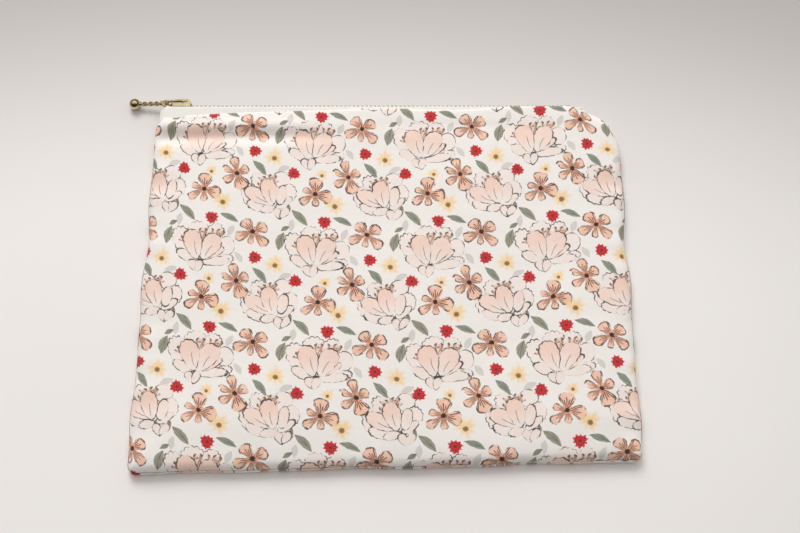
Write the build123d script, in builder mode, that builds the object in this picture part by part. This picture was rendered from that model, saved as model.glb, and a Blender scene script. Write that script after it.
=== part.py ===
from build123d import *
import os

# A flat, lined zip pouch that lies on its back: front face up (+Z), zip along the far edge (+Y),
# slider closed against the left end (-X). The origin is the middle of the back face, on the
# plane that the pouch rests on. Everything is in millimetres.

# ---------------------------------------------------------------- driving dimensions
POUCH_WIDTH = 250.0        # left side seam to right side seam
POUCH_HEIGHT = 195.0       # bottom seam to the outside of the zip teeth
POUCH_THICKNESS = 10.0     # empty, both halves together
CORNER_RADII = {"top_left": 8.0, "top_right": 22.0, "bottom_left": 5.0, "bottom_right": 4.0}

CLOTH = 0.4                # outer cotton
FLEECE = 1.2               # fusible fleece behind the outer cotton
LINING = 0.3               # lining cotton
LAYER_GAP = 0.05           # air between neighbouring layers
SEAM_GAP = 0.12            # each half stops this far from the mid plane, room to open about the seam
EDGE_ROLL = 3.5            # radius that the outer cotton rolls over the edge with
LINING_INSET = 1.8         # lining seam, inside the outer seam
LINING_ROLL = 2.0
FLEECE_INSET = 3.2         # fleece is trimmed clear of the rolled edge

TEETH_PITCH = 2.3          # number 5 metal chain
TOOTH_LENGTH_X = 1.05      # thickness of one tooth along the chain
TOOTH_HALF_DEPTH = 1.25    # half thickness of the chain
TOOTH_LEG_END = 2.9        # chain centre to the end of the clamping legs
TOOTH_HEAD_END = 0.65      # how far a head passes the chain centre
TOOTH_HEAD_HALF_DEPTH = 0.9
CORD_RADIUS = 0.6          # corded edge of the tape, which the teeth clamp on
CORD_OFFSET = 1.95         # chain centre to cord centre
GRIP_CLEARANCE = 0.08      # between the cord and the metal round it
NIB_RADIUS = 0.4
NIB_HEIGHT = 0.35
CUP_RADIUS = 0.55
CUP_DEPTH = 0.45

TAPE = 0.45                # zip tape thickness
TAPE_SLOT = 0.3            # half width of the slot that the tape leaves the metal through
TAPE_SHOW = 2.7            # tape seen between the chain centre and the printed hem
TAPE_BEND = 0.5            # radius of the tape's fold over the slider
TAPE_HIDDEN = 11.0         # tape caught under the hem
TAPE_LEFT = -120.3
TAPE_RIGHT = 106.0

SLIDER_LEFT = -118.0       # mouth end of the slider, closed
SLIDER_LENGTH = 12.0
SLIDER_HALF_WIDTH = 4.0    # at the mouth
SLIDER_TAIL_HALF_WIDTH = 3.7
SLIDER_PLATE = 0.9
CHANNEL_HALF_DEPTH = 1.4
CHANNEL_HALF_WIDTH = 3.05
FLANGE_LIP = 0.45          # half of the slot between a flange pair
WEDGE_HALF_WIDTH = 1.15    # the diamond that parts the two rows
WEDGE_LENGTH = 4.2

BAIL_WIDTH = 1.8           # across the slider
BAIL_HALF_LENGTH = 4.2
BAIL_HOLE_HALF_LENGTH = 2.7
BAIL_METAL = 1.1
BAIL_HOLE_HEIGHT = 3.2

LINK_WIRE_RADIUS = 0.7
LINK_LENGTH = 9.5          # bail pivot to tip pivot
LINK_HALF_WIDTH = 2.9      # at the bail
LINK_TIP_HALF_WIDTH = 1.9
LINK_BEND = 1.3
LINK_STANDOFF = 4.25       # pivot out from the chain centre

EYE_RADIUS = 1.55          # ring at the end of the rope bar, mid line
EYE_WIRE_RADIUS = 0.6
ROPE_LENGTH = 11.8
ROPE_STRAND_RADIUS = 0.64
ROPE_HELIX_RADIUS = 0.7
ROPE_PITCH = 6.6           # one full turn of one strand
ROPE_START = 2.3           # tip pivot to the start of the strands
ROPE_TRIM = 0.4            # cut off each end of a strand, square to the bar
FERRULE_RADIUS = 1.45
FERRULE_LENGTH = 0.9
BALL_RADIUS = 3.1
PULL_RISE = 0.02           # the ball just clears the table
BALL_STANDOFF = 0.6        # ball centre out from the link's line, so that it passes the stops

STOP_LENGTH = 2.1
STOP_HALF_DEPTH = 1.6
BOTTOM_STOP_LEFT = 97.2
BOTTOM_STOP_LENGTH = 2.4

THREAD_RADIUS = 0.15
STITCH_LENGTH = 2.1
STITCH_PITCH = 2.6
SEAM_INSET = 1.1           # stitch line of the outer seams, in from the edge
LINING_STITCH_INSET = 2.4

# ---------------------------------------------------------------- places that follow from them
HALF_WIDTH = POUCH_WIDTH / 2
HALF_THICKNESS = POUCH_THICKNESS / 2
MID_Z = HALF_THICKNESS
BOTTOM_Y = -POUCH_HEIGHT / 2
CHAIN_Y = POUCH_HEIGHT / 2 - TOOTH_HALF_DEPTH
HEM_Y = CHAIN_Y - TAPE_SHOW
TAPE_EDGE_Y = HEM_Y - TAPE_HIDDEN
TAPE_OUT = HALF_THICKNESS - CLOTH - LAYER_GAP - TAPE / 2     # mid line of the tape's flat part
FLEECE_TOP = HALF_THICKNESS - CLOTH - LAYER_GAP
FLEECE_END_Y = TAPE_EDGE_Y - 1.0
LINING_TOP = FLEECE_TOP - FLEECE - LAYER_GAP
SLIDER_RIGHT = SLIDER_LEFT + SLIDER_LENGTH
SLIDER_OUTSIDE = CHANNEL_HALF_DEPTH + SLIDER_PLATE
FIRST_TOOTH_X = SLIDER_LEFT + WEDGE_LENGTH + 1.5
LAST_TOOTH_X = BOTTOM_STOP_LEFT - 1.8
TEETH_COUNT = 1 + int((LAST_TOOTH_X - FIRST_TOOTH_X) / TEETH_PITCH)
LINK_PIVOT_X = SLIDER_LEFT + SLIDER_LENGTH / 2 + 0.5
LINK_PIVOT_Y = CHAIN_Y + LINK_STANDOFF
TIP_PIVOT_X = LINK_PIVOT_X - LINK_LENGTH
BALL_X = TIP_PIVOT_X - ROPE_START - ROPE_LENGTH - BALL_RADIUS
BALL_Z = BALL_RADIUS + PULL_RISE

MID_PLANE = Plane.XY.offset(MID_Z)

os.makedirs("parts", exist_ok=True)


def finish(piece, name):
    """Label one finished piece and write its file."""
    piece.part.label = name
    export_step(piece.part, "parts/" + name + ".step")


# ---------------------------------------------------------------- cloth
def outline(inset):
    """The pouch seen from above, drawn in from its finished edge by inset."""
    corner_order = {
        "bottom_left": (-1, -1), "bottom_right": (1, -1), "top_left": (-1, 1), "top_right": (1, 1),
    }
    with BuildSketch() as plan:
        Rectangle(POUCH_WIDTH - 2 * inset, POUCH_HEIGHT - 2 * inset)
        for corner, (side_x, side_y) in corner_order.items():
            radius = max(CORNER_RADII[corner] - inset, 0.5)
            vertex = plan.vertices().sort_by(lambda v: side_x * v.X + side_y * v.Y)[-1]
            fillet(vertex, radius)
    return plan.sketch


def cloth_half(inset, top, thickness, roll, open_y):
    """One cloth layer of the front half: a shallow tray, open at the mid plane and at the zip."""
    with BuildPart() as tray:
        with BuildSketch(Plane.XY.offset(MID_Z + SEAM_GAP)):
            add(outline(inset))
        extrude(amount=top - SEAM_GAP)
        fillet(tray.faces().sort_by(Axis.Z)[-1].edges(), roll)
        offset(amount=-thickness, openings=tray.faces().sort_by(Axis.Z)[0])
        split(bisect_by=Plane.XZ.offset(-open_y), keep=Keep.TOP)
    return tray.part


with BuildPart() as front_panel:
    add(cloth_half(0.0, HALF_THICKNESS, CLOTH, EDGE_ROLL, HEM_Y))
finish(front_panel, "front_panel")

with BuildPart() as back_panel:
    mirror(front_panel.part, about=MID_PLANE)
finish(back_panel, "back_panel")

with BuildPart() as front_fleece:
    with BuildSketch(Plane.XY.offset(MID_Z + FLEECE_TOP - FLEECE)):
        add(outline(FLEECE_INSET))
    extrude(amount=FLEECE)
    split(bisect_by=Plane.XZ.offset(-FLEECE_END_Y), keep=Keep.TOP)
finish(front_fleece, "front_fleece")

with BuildPart() as back_fleece:
    mirror(front_fleece.part, about=MID_PLANE)
finish(back_fleece, "back_fleece")

with BuildPart() as front_lining:
    add(cloth_half(LINING_INSET, LINING_TOP, LINING, LINING_ROLL, HEM_Y))
finish(front_lining, "front_lining")

with BuildPart() as back_lining:
    mirror(front_lining.part, about=MID_PLANE)
finish(back_lining, "back_lining")


# ---------------------------------------------------------------- stitches
def stitch_places(start, end):
    """Middles of the stitches that fit between start and end."""
    count = int((end - start) / STITCH_PITCH)
    first = (start + end) / 2 - (count - 1) * STITCH_PITCH / 2
    return [first + index * STITCH_PITCH for index in range(count)]


def stitches_along_x(start, end, y, z):
    """A straight row of lock stitches along X."""
    with BuildPart() as row:
        with Locations([(x, y, z) for x in stitch_places(start, end)]):
            Cylinder(THREAD_RADIUS, STITCH_LENGTH, rotation=(0, 90, 0))
    return row.part


def stitches_along_y(start, end, x, z):
    """A straight row of lock stitches along Y."""
    with BuildPart() as row:
        with Locations([(x, y, z) for y in stitch_places(start, end)]):
            Cylinder(THREAD_RADIUS, STITCH_LENGTH, rotation=(90, 0, 0))
    return row.part


with BuildPart() as left_seam_thread:
    add(stitches_along_y(
        BOTTOM_Y + CORNER_RADII["bottom_left"], HEM_Y - CORNER_RADII["top_left"],
        -HALF_WIDTH + SEAM_INSET, MID_Z,
    ))
finish(left_seam_thread, "left_seam_thread")

with BuildPart() as right_seam_thread:
    add(stitches_along_y(
        BOTTOM_Y + CORNER_RADII["bottom_right"], HEM_Y - CORNER_RADII["top_right"],
        HALF_WIDTH - SEAM_INSET, MID_Z,
    ))
finish(right_seam_thread, "right_seam_thread")

with BuildPart() as bottom_seam_thread:
    add(stitches_along_x(
        -HALF_WIDTH + CORNER_RADII["bottom_left"], HALF_WIDTH - CORNER_RADII["bottom_right"],
        BOTTOM_Y + SEAM_INSET, MID_Z,
    ))
finish(bottom_seam_thread, "bottom_seam_thread")

with BuildPart() as lining_seam_thread:
    add(stitches_along_x(
        -HALF_WIDTH + 2 * CORNER_RADII["bottom_left"], HALF_WIDTH - 2 * CORNER_RADII["bottom_right"],
        BOTTOM_Y + LINING_STITCH_INSET, MID_Z,
    ))
finish(lining_seam_thread, "lining_seam_thread")

with BuildPart() as front_zip_stitch:
    add(stitches_along_x(
        TAPE_LEFT + 2.0, TAPE_RIGHT - 2.0, HEM_Y - 1.5, MID_Z + (TAPE_OUT - TAPE / 2 + LINING_TOP) / 2,
    ))
finish(front_zip_stitch, "front_zip_stitch")

with BuildPart() as back_zip_stitch:
    mirror(front_zip_stitch.part, about=MID_PLANE)
finish(back_zip_stitch, "back_zip_stitch")


# ---------------------------------------------------------------- zip tapes, cords and teeth
def chain_section(x):
    """Plane across the chain at x, its own origin on the chain centre, first axis away from the pouch."""
    return Plane(origin=(x, CHAIN_Y, MID_Z), x_dir=(0, 1, 0), z_dir=(1, 0, 0))


with BuildPart() as front_tape:
    with BuildSketch(chain_section(TAPE_LEFT)):
        with BuildLine():
            FilletPolyline(
                (0, CORD_OFFSET + CORD_RADIUS + LAYER_GAP),
                (0, TAPE_OUT),
                (TAPE_EDGE_Y - CHAIN_Y, TAPE_OUT),
                radius=TAPE_BEND,
            )
        trace(line_width=TAPE)
    extrude(amount=TAPE_RIGHT - TAPE_LEFT)
finish(front_tape, "front_tape")

with BuildPart() as back_tape:
    mirror(front_tape.part, about=MID_PLANE)
finish(back_tape, "back_tape")

with BuildPart() as front_cord:
    with BuildSketch(chain_section(TAPE_LEFT)):
        with Locations((0, CORD_OFFSET)):
            Circle(CORD_RADIUS)
    extrude(amount=TAPE_RIGHT - TAPE_LEFT)
finish(front_cord, "front_cord")

with BuildPart() as back_cord:
    mirror(front_cord.part, about=MID_PLANE)
finish(back_cord, "back_cord")


def cord_grip(leg_end):
    """Cut, in the current section sketch, for the cord and the slot that the tape leaves through."""
    with Locations((0, CORD_OFFSET)):
        Circle(CORD_RADIUS + GRIP_CLEARANCE, mode=Mode.SUBTRACT)
    with Locations((0, (CORD_OFFSET + leg_end + 1.0) / 2)):
        Rectangle(2 * TAPE_SLOT, leg_end + 1.0 - CORD_OFFSET, mode=Mode.SUBTRACT)


def front_tooth():
    """One tooth of the front row at x = 0: clamping legs, a tapered head, a nib and a cup."""
    shoulder = 1.0
    neck = 0.4
    with BuildPart() as tooth:
        with BuildSketch(chain_section(-TOOTH_LENGTH_X / 2)):
            with BuildLine():
                Polyline(
                    (-TOOTH_HALF_DEPTH, TOOTH_LEG_END),
                    (-TOOTH_HALF_DEPTH, shoulder),
                    (-TOOTH_HEAD_HALF_DEPTH, neck),
                    (-TOOTH_HEAD_HALF_DEPTH, 0.3 - TOOTH_HEAD_END),
                    (0.3 - TOOTH_HEAD_HALF_DEPTH, -TOOTH_HEAD_END),
                    (TOOTH_HEAD_HALF_DEPTH - 0.3, -TOOTH_HEAD_END),
                    (TOOTH_HEAD_HALF_DEPTH, 0.3 - TOOTH_HEAD_END),
                    (TOOTH_HEAD_HALF_DEPTH, neck),
                    (TOOTH_HALF_DEPTH, shoulder),
                    (TOOTH_HALF_DEPTH, TOOTH_LEG_END),
                    close=True,
                )
            make_face()
            cord_grip(TOOTH_LEG_END)
        extrude(amount=TOOTH_LENGTH_X)
        with BuildSketch(chain_section(TOOTH_LENGTH_X / 2)):
            Circle(NIB_RADIUS)
        extrude(amount=NIB_HEIGHT)
        with BuildSketch(chain_section(-TOOTH_LENGTH_X / 2)):
            Circle(CUP_RADIUS)
        extrude(amount=CUP_DEPTH, mode=Mode.SUBTRACT)
    return tooth.part


TOOTH = front_tooth()
MIRRORED_TOOTH = mirror(TOOTH, about=MID_PLANE)

with BuildPart() as front_teeth:
    with Locations([(FIRST_TOOTH_X + index * TEETH_PITCH, 0, 0) for index in range(TEETH_COUNT)]):
        add(TOOTH)
finish(front_teeth, "front_teeth")

with BuildPart() as back_teeth:
    with Locations([(FIRST_TOOTH_X + (index + 0.5) * TEETH_PITCH, 0, 0) for index in range(TEETH_COUNT)]):
        add(MIRRORED_TOOTH)
finish(back_teeth, "back_teeth")

with BuildPart() as front_top_stop:
    with BuildSketch(chain_section(TAPE_LEFT + 0.1)):
        with Locations((0, (TOOTH_LEG_END + CORD_OFFSET - CORD_RADIUS) / 2)):
            RectangleRounded(2 * STOP_HALF_DEPTH, TOOTH_LEG_END - CORD_OFFSET + CORD_RADIUS + 0.3, 0.4)
        cord_grip(TOOTH_LEG_END)
    extrude(amount=STOP_LENGTH)
finish(front_top_stop, "front_top_stop")

with BuildPart() as back_top_stop:
    mirror(front_top_stop.part, about=MID_PLANE)
finish(back_top_stop, "back_top_stop")

with BuildPart() as bottom_stop:
    with BuildSketch(chain_section(BOTTOM_STOP_LEFT)) as stop_section:
        RectangleRounded(2 * STOP_HALF_DEPTH, 2 * TOOTH_LEG_END, 0.5)
        cord_grip(TOOTH_LEG_END)
        with Locations((0, -CORD_OFFSET)):
            Circle(CORD_RADIUS + GRIP_CLEARANCE, mode=Mode.SUBTRACT)
        with Locations((0, -(CORD_OFFSET + TOOTH_LEG_END + 1.0) / 2)):
            Rectangle(2 * TAPE_SLOT, TOOTH_LEG_END + 1.0 - CORD_OFFSET, mode=Mode.SUBTRACT)
    extrude(amount=BOTTOM_STOP_LENGTH)
finish(bottom_stop, "bottom_stop")


# ---------------------------------------------------------------- slider
def along_chain(depth):
    """Plane of the chain, depth out from its centre, drawn in x and z; it extrudes towards the pouch."""
    return Plane(origin=(0, CHAIN_Y + depth, MID_Z), x_dir=(1, 0, 0), z_dir=(0, -1, 0))


def slider_plate():
    """Plate outline: a broad mouth on the left and a narrower tail on the right."""
    shoulder_x = SLIDER_LEFT + SLIDER_LENGTH * 0.45
    with BuildSketch() as plate:
        with BuildLine():
            Polyline(
                (SLIDER_LEFT, -SLIDER_HALF_WIDTH),
                (shoulder_x, -SLIDER_HALF_WIDTH),
                (SLIDER_RIGHT, -SLIDER_TAIL_HALF_WIDTH),
                (SLIDER_RIGHT, SLIDER_TAIL_HALF_WIDTH),
                (shoulder_x, SLIDER_HALF_WIDTH),
                (SLIDER_LEFT, SLIDER_HALF_WIDTH),
                close=True,
            )
        make_face()
        fillet(plate.vertices().group_by(Axis.X)[0], 2.2)
        fillet(plate.vertices().group_by(Axis.X)[-1], 1.2)
    return plate.sketch


with BuildPart() as slider_body:
    # outer and inner plates
    with BuildSketch(along_chain(SLIDER_OUTSIDE)):
        add(slider_plate())
    extrude(amount=SLIDER_PLATE)
    with BuildSketch(along_chain(-CHANNEL_HALF_DEPTH)):
        add(slider_plate())
    extrude(amount=SLIDER_PLATE)
    # flanges: each plate's edges turn in over the legs of the teeth and leave a slot for the tape
    for flange_top in (CHANNEL_HALF_DEPTH, -FLANGE_LIP):
        with BuildSketch(along_chain(flange_top)):
            add(slider_plate())
            with Locations(((SLIDER_LEFT + SLIDER_RIGHT) / 2, 0)):
                Rectangle(SLIDER_LENGTH, 2 * CHANNEL_HALF_WIDTH, mode=Mode.SUBTRACT)
        extrude(amount=CHANNEL_HALF_DEPTH - FLANGE_LIP)
    # the wedge between the plates
    with BuildSketch(along_chain(CHANNEL_HALF_DEPTH)):
        with BuildLine():
            Polyline(
                (SLIDER_LEFT + 0.4, -0.5),
                (SLIDER_LEFT + 1.8, -WEDGE_HALF_WIDTH),
                (SLIDER_LEFT + 0.4 + WEDGE_LENGTH, 0),
                (SLIDER_LEFT + 1.8, WEDGE_HALF_WIDTH),
                (SLIDER_LEFT + 0.4, 0.5),
                close=True,
            )
        make_face()
    extrude(amount=2 * CHANNEL_HALF_DEPTH)
    # the bail, an arch that the pull's link passes through
    with BuildSketch(Plane.XY.offset(MID_Z - BAIL_WIDTH / 2)) as bail:
        with Locations((LINK_PIVOT_X, CHAIN_Y + SLIDER_OUTSIDE)):
            Rectangle(2 * BAIL_HALF_LENGTH, BAIL_HOLE_HEIGHT + BAIL_METAL, align=(Align.CENTER, Align.MIN))
        fillet(bail.vertices().group_by(Axis.Y)[-1], 2.0)
        with Locations((LINK_PIVOT_X, CHAIN_Y + SLIDER_OUTSIDE + BAIL_HOLE_HEIGHT / 2)):
            RectangleRounded(2 * BAIL_HOLE_HALF_LENGTH, BAIL_HOLE_HEIGHT - 0.02, 1.0, mode=Mode.SUBTRACT)
    extrude(amount=BAIL_WIDTH)
finish(slider_body, "slider_body")


# ---------------------------------------------------------------- pull: link, rope bar and ball
LINK_PLANE = Plane(origin=(LINK_PIVOT_X, LINK_PIVOT_Y, MID_Z), x_dir=(-1, 0, 0), z_dir=(0, 1, 0))

with BuildPart() as pull_link:
    with BuildLine(LINK_PLANE) as loop:
        FilletPolyline(
            (0, -LINK_HALF_WIDTH),
            (0, LINK_HALF_WIDTH),
            (LINK_LENGTH, LINK_TIP_HALF_WIDTH),
            (LINK_LENGTH, -LINK_TIP_HALF_WIDTH),
            radius=LINK_BEND,
            close=True,
        )
    with BuildSketch(Plane(origin=loop.line @ 0, z_dir=loop.line % 0)):
        Circle(LINK_WIRE_RADIUS)
    sweep(path=loop.line)
finish(pull_link, "pull_link")

# The rope bar runs from the link's tip to the ball, sloping down so that the ball rests on the table.
TIP_PIVOT = Vector(TIP_PIVOT_X, LINK_PIVOT_Y, MID_Z)
BALL_CENTRE = Vector(BALL_X, LINK_PIVOT_Y + BALL_STANDOFF, BALL_Z)
BALL_DISTANCE = (BALL_CENTRE - TIP_PIVOT).length
BAR_DIRECTION = (BALL_CENTRE - TIP_PIVOT).normalized()
BAR_SIDE = Vector(0, 0, 1).cross(BAR_DIRECTION).normalized()


def bar_plane(distance):
    """Plane across the rope bar, distance from the tip pivot towards the ball."""
    return Plane(origin=TIP_PIVOT + BAR_DIRECTION * distance, x_dir=BAR_SIDE, z_dir=BAR_DIRECTION)


EYE_REACH = EYE_RADIUS - EYE_WIRE_RADIUS - LINK_WIRE_RADIUS - 0.1
EYE_CENTRE = TIP_PIVOT + Vector(BAR_DIRECTION.X, BAR_DIRECTION.Y, 0) * EYE_REACH
EYE_FERRULE_START = ROPE_START + ROPE_TRIM - LAYER_GAP - FERRULE_LENGTH
BALL_FERRULE_START = ROPE_START + ROPE_LENGTH - ROPE_TRIM + LAYER_GAP

with BuildPart() as bar_eye:
    with BuildSketch(Plane(origin=EYE_CENTRE, x_dir=(1, 0, 0), z_dir=(0, 1, 0))):
        with Locations((EYE_RADIUS, 0)):
            Circle(EYE_WIRE_RADIUS)
    revolve(axis=Axis(EYE_CENTRE, (0, 0, 1)))
    with BuildSketch(bar_plane(EYE_FERRULE_START)):
        Circle(FERRULE_RADIUS)
    extrude(amount=FERRULE_LENGTH)
finish(bar_eye, "bar_eye")


def rope_strand():
    """One of the two wires that are twisted into the rope bar, climbing +Z from its own origin."""
    with BuildPart() as strand:
        with BuildLine() as helix:
            Helix(pitch=ROPE_PITCH, height=ROPE_LENGTH, radius=ROPE_HELIX_RADIUS)
        with BuildSketch(Plane(origin=helix.line @ 0, z_dir=helix.line % 0)):
            Circle(ROPE_STRAND_RADIUS)
        sweep(path=helix.line, is_frenet=True)
        split(bisect_by=Plane.XY.offset(ROPE_TRIM), keep=Keep.TOP)
        split(bisect_by=Plane.XY.offset(ROPE_LENGTH - ROPE_TRIM), keep=Keep.BOTTOM)
    return strand.part


STRAND = rope_strand()

with BuildPart() as rope_strand_a:
    with Locations(bar_plane(ROPE_START)):
        add(STRAND)
finish(rope_strand_a, "rope_strand_a")

with BuildPart() as rope_strand_b:
    with Locations(bar_plane(ROPE_START)):
        add(STRAND, rotation=(0, 0, 180))
finish(rope_strand_b, "rope_strand_b")

with BuildPart() as pull_ball:
    with BuildSketch(Plane(origin=TIP_PIVOT, x_dir=BAR_DIRECTION, z_dir=BAR_SIDE)):
        with Locations((BALL_DISTANCE, 0)):
            Circle(BALL_RADIUS)
        with Locations((BALL_FERRULE_START, 0)):
            Rectangle(FERRULE_LENGTH, 2 * FERRULE_RADIUS, align=(Align.MIN, Align.CENTER))
        with Locations((BALL_DISTANCE, 0)):
            Rectangle(4 * BALL_RADIUS, 2 * BALL_RADIUS, align=(Align.CENTER, Align.MAX), mode=Mode.SUBTRACT)
    revolve(axis=Axis(TIP_PIVOT, BAR_DIRECTION))
finish(pull_ball, "pull_ball")
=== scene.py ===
import math

import bpy
import numpy as np
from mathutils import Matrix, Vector


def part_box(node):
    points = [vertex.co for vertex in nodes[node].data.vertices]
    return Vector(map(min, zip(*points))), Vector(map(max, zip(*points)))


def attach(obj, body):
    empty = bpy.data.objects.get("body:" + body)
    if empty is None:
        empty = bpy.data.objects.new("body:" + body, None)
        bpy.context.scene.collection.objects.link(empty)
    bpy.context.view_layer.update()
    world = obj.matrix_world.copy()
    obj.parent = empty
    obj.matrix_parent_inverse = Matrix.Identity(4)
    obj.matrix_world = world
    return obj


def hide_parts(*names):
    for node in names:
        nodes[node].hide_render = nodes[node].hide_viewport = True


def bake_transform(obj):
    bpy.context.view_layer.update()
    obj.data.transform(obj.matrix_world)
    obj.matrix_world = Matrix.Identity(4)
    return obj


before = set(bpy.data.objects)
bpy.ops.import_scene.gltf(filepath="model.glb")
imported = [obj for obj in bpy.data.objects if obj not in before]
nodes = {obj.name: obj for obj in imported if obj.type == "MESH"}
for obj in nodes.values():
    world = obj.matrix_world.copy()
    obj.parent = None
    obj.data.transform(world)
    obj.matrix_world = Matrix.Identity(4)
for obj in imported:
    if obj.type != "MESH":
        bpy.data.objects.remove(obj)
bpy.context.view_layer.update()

# Lengths are worked out in millimetres, in the frame of the part, and become metres in make_mesh.
MM = 0.001


def box_mm(node):
    """Lowest and highest corner of a CAD node, in millimetres."""
    low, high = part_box(node)
    return np.array(low) / MM, np.array(high) / MM


# ---------------------------------------------------------------- places taken from the frame
panel_low, panel_high = box_mm("front_panel")
back_low, _ = box_mm("back_panel")
_, tape_high = box_mm("front_tape")
teeth_low, teeth_high = box_mm("front_teeth")
cord_low, cord_high = box_mm("front_cord")
slider_low, slider_high = box_mm("slider_body")
stop_low, stop_high = box_mm("bottom_stop")

HALF_WIDTH = panel_high[0]
TOP_Z = panel_high[2]
MID_Z = (back_low[2] + TOP_Z) / 2
HALF_THICKNESS = TOP_Z - MID_Z
BOTTOM_Y = panel_low[1]
HEM_Y = panel_high[1]
CHAIN_Y = (teeth_low[1] + teeth_high[1]) / 2
CORD_Q = (cord_low[2] + cord_high[2]) / 2 - MID_Z
CORD_RADIUS = (cord_high[2] - cord_low[2]) / 2
CHAIN_LEFT, CHAIN_RIGHT = slider_low[0], stop_low[0]

CLOTH = 0.4                # thickness of the printed cotton
FLEECE_TOP = 0.46          # depths under the outside of the cover
FLEECE_END = 1.65
LINING_TOP = 1.75
LINING_END = 2.05
CORNER_RADII = {(-1, -1): 5.0, (1, -1): 4.5, (-1, 1): 7.0, (1, 1): 26.0}


# ---------------------------------------------------------------- small helpers
def smoothstep(low, high, value):
    t = np.clip((value - low) / (high - low), 0, 1)
    return t * t * (3 - 2 * t)


def hill(centre, width, value):
    return np.exp(-(((value - centre) / width) ** 2))


def rumple(x, y, scale, seed):
    """Smooth unevenness between about -1 and 1, from a few crossing waves."""
    random = np.random.default_rng(seed)
    total = np.zeros(np.broadcast(x, y).shape)
    waves = 7
    for _ in range(waves):
        angle, phase = random.uniform(0, 2 * math.pi, 2)
        length = scale * random.uniform(0.7, 1.6)
        total += np.sin((x * math.cos(angle) + y * math.sin(angle)) * 2 * math.pi / length + phase)
    return total / math.sqrt(waves)


def make_mesh(name, points, faces, print_xy=None, smooth=True):
    """A new object from points in millimetres; print_xy is the place of each point on the flat cloth."""
    mesh = bpy.data.meshes.new(name)
    mesh.from_pydata((np.asarray(points) * MM).tolist(), [], [tuple(face) for face in faces])
    mesh.polygons.foreach_set("use_smooth", [smooth] * len(mesh.polygons))
    if print_xy is not None:
        layer = mesh.uv_layers.new(name="cloth")
        corner_points = np.zeros(len(mesh.loops), np.int32)
        mesh.loops.foreach_get("vertex_index", corner_points)
        layer.data.foreach_set("uv", np.asarray(print_xy)[corner_points].astype(np.float32).ravel())
    mesh.update()
    piece = bpy.data.objects.new(name, mesh)
    bpy.context.scene.collection.objects.link(piece)
    return piece


def quads(index):
    """Faces between the neighbours in a grid of point numbers."""
    return np.stack([index[:-1, :-1], index[:-1, 1:], index[1:, 1:], index[1:, :-1]], -1).reshape(-1, 4)


def shell(name, outer, inner, print_xy, flip=False):
    """A closed thin solid between two grids of points with the same rows and columns."""
    rows, columns = outer.shape[:2]
    count = rows * columns
    index = np.arange(count).reshape(rows, columns)
    rim = np.concatenate([index[0, :], index[1:, -1], index[-1, -2::-1], index[-2:0:-1, 0]])
    after = np.roll(rim, -1)
    sides = np.stack([rim, rim + count, after + count, after], -1)
    faces = np.concatenate([quads(index), quads(index + count)[:, ::-1], sides])
    faces = faces[:, ::-1] if flip else faces
    points = np.concatenate([outer.reshape(-1, 3), inner.reshape(-1, 3)])
    cloth = np.asarray(print_xy).reshape(-1, 2)
    return make_mesh(name, points, faces, np.concatenate([cloth, cloth]))


# ---------------------------------------------------------------- how the mouth opens
# The mouth opens from the top stops to the place of the slider when it meets the bottom stop.
TOP_STOP_ROOM = 2.0
LENS_FULLNESS = 1.6        # the higher, the longer the pointed ends of the lens
LENS_LEFT = CHAIN_LEFT - TOP_STOP_ROOM
LENS_RIGHT = CHAIN_RIGHT - (slider_high[0] - slider_low[0])
LENS_CENTRE = (LENS_LEFT + LENS_RIGHT) / 2
LENS_HALF = (LENS_RIGHT - LENS_LEFT) / 2


def mouth_share(x):
    """How far a point of the front half follows the opening mouth: not at all at its two ends, fully
    in the middle."""
    across = np.clip((x - LENS_CENTRE) / LENS_HALF, -1, 1)
    return (1 - across ** 2) ** LENS_FULLNESS


def open_with_mouth(piece, x_of_point=None):
    """Bakes the placement of a piece of the front half into its points and works out how far each point
    follows the opening mouth, from its x or from x_of_point. The share is not stored, so the piece is not
    blended between the back half, which lies still, and the opening front.
    """
    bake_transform(piece)
    points = np.zeros(len(piece.data.vertices) * 3, np.float32)
    piece.data.vertices.foreach_get("co", points)
    x = points.reshape(-1, 3)[:, 0] / MM
    x = x if x_of_point is None else x_of_point(x)
    mouth_share(x).astype(np.float32)


# ---------------------------------------------------------------- the form of the cloth
GRID_STEP = 1.3            # between grid lines on the flat of the cloth
EDGE_ROLL = 4.6            # width in plan of the rolled edge
ROLL_STEPS = 9
CROWN_SHARE = 0.14         # the part of the height that the cloth gains slowly, inside the rolled edge
CROWN_WIDTH = 26
EDGE_SINK = 2.2            # how far the sewn edges sink towards the table
EDGE_SINK_WIDTH = 7
SIDE_PUCKER_REACH = 9      # how far in the puckers of a seam die away
BOTTOM_PUCKER_REACH = 10


def edge_lines(low, high, roll_low, roll_high):
    """Places of grid lines from low to high, close together where the cloth rolls over an edge.
    Returns each line's place and its place on the flat cloth."""
    angles = np.linspace(0, math.pi / 2, ROLL_STEPS)
    start, start_cloth = [low], [low]
    if roll_low:
        start = low + roll_low * (1 - np.cos(angles))
        start_cloth = low + roll_low - roll_low * (math.pi / 2 - angles)
    end, end_cloth = [high], [high]
    if roll_high:
        end = (high - roll_high * (1 - np.cos(angles)))[::-1]
        end_cloth = (high - roll_high + roll_high * (math.pi / 2 - angles))[::-1]
    count = int((end[0] - start[-1]) / GRID_STEP)
    middle = np.linspace(start[-1], end[0], count + 2)[1:-1]
    return np.concatenate([start, middle, end]), np.concatenate([start_cloth, middle, end_cloth])


def roll_height(distance, roll):
    """Height, 0 to 1, of the cloth this far in from a rolled edge."""
    inward = np.clip(distance / roll, 0, 1)
    quick = np.sqrt(np.clip(1 - (1 - inward) ** 2, 0, 1))
    return (1 - CROWN_SHARE) * quick + CROWN_SHARE * smoothstep(0, CROWN_WIDTH, distance)


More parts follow.
